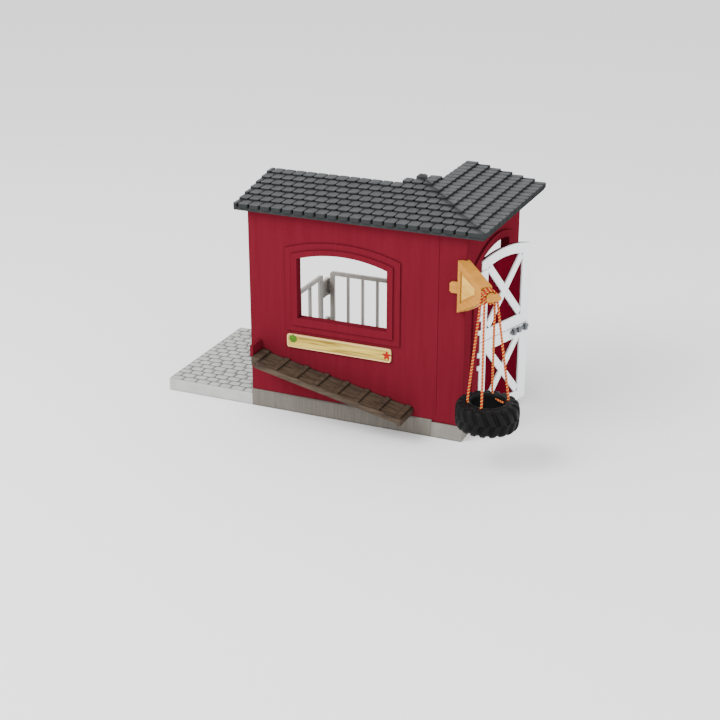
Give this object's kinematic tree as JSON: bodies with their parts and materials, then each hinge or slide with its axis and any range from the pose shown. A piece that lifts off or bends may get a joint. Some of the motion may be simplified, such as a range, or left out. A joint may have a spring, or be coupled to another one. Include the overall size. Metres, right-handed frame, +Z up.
{
  "type": "toy goat shed",
  "caption": "Toy animal shed with shingled hip roof, Dutch door, climbing ramp, pen gate and a tyre swing hung from a corner arm.",
  "frame": {"origin": "centre of the base slab's underside", "axes": "+X along the front wall towards the tyre, +Y from the front wall to the back, +Z up"},
  "size_m": [0.3735, 0.2373, 0.2235],
  "materials": {
    "base_stone": "fine",
    "plinth_grey": "finely striated",
    "plinth_light": "smooth",
    "wall_red": "board grain",
    "roof_grey": "slate grain",
    "sign_tan": "wood grain",
    "ramp_brown": "wood grain",
    "door_red": "board grain",
    "trim_white": "satin",
    "metal_grey": "satin",
    "arm_tan": "wood grain",
    "tyre_black": "moulded",
    "rope_fibre": "twisted cord",
    "pen_grey": "satin"
  },
  "bodies": {
    "shed": {"floor_plate": "base_stone", "plinth_front": "plinth_grey", "plinth_corner": "plinth_light", "plinth_rear": "plinth_light", "wall_front": "wall_red", "wall_side": "wall_red", "post_left": "wall_red", "post_inner": "wall_red", "post_rear": "wall_red", "roof_front": "roof_grey", "roof_side": "roof_grey", "hip_cap": "roof_grey", "sign_board": "sign_tan", "ramp": "ramp_brown", "hinge_pins": "metal_grey", "bolt_keeper": "metal_grey", "hoist_arm": "arm_tan", "pen_side": "pen_grey", "pen_clips": "pen_grey"},
    "door_upper": {"door_upper_panel": "door_red", "door_upper_frame": "trim_white"},
    "door_lower": {"door_lower_panel": "door_red", "door_lower_frame": "trim_white", "bolt_guides": "metal_grey"},
    "bolt_slider": {"bolt": "metal_grey"},
    "swing": {"rope_winding": "rope_fibre", "rope_front": "rope_fibre", "rope_back": "rope_fibre", "tyre": "tyre_black"},
    "gate": {"pen_gate": "pen_grey"}
  },
  "joints": [
    {"name": "upper_leaf_hinge", "type": "hinge", "parent": "shed", "child": "door_upper", "pos_m": [0.1561, -0.04165, 0.12], "axis": [0, 0, -1], "range_deg": [-17.2, 73]},
    {"name": "lower_leaf_hinge", "type": "hinge", "parent": "shed", "child": "door_lower", "pos_m": [0.1561, -0.04165, 0.045], "axis": [0, 0, -1], "range_deg": [-17.2, 73]},
    {"name": "bolt_slide", "type": "slide", "parent": "door_lower", "child": "bolt_slider", "axis": [0.2957, 0.9553, 0], "range_m": [0, 0.005]},
    {"name": "tyre_swing", "type": "hinge", "parent": "shed", "child": "swing", "pos_m": [0.18724, -0.11119, 0.1593], "axis": [0.7071, -0.7071, 0], "range_deg": [-20, 20]},
    {"name": "pen_gate_hinge", "type": "hinge", "parent": "shed", "child": "gate", "pos_m": [-0.0485, 0.07375, 0.05], "axis": [0, 0, 1], "range_deg": [0, 95]}
  ]
}
